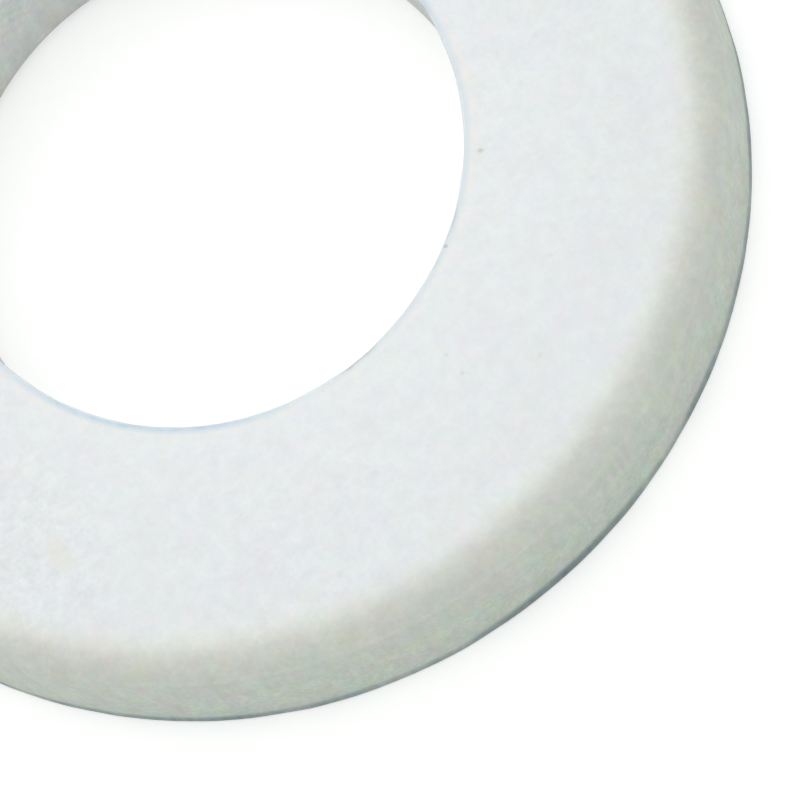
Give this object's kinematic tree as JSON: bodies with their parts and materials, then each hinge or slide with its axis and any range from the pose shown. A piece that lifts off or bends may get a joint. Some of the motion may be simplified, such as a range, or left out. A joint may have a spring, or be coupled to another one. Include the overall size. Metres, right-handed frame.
{
  "type": "flat washer",
  "caption": "Flat steel washer with a round clearance bore, a rounded outer edge on its upper face and a satin zinc finish.",
  "frame": {"origin": "on the bore axis, in the plane of the underside that the washer rests on", "axes": "+Z along the bore axis, up out of the upper face, which is the face with the rounded outer edge; X and Y are any two directions across the ring"},
  "size_m": [0.0125, 0.0124, 0.0018],
  "materials": {
    "zinc_plated_steel": "satin, bright zinc plated and clear passivated"
  },
  "bodies": {
    "root": {"washer": "zinc_plated_steel"}
  },
  "joints": []
}
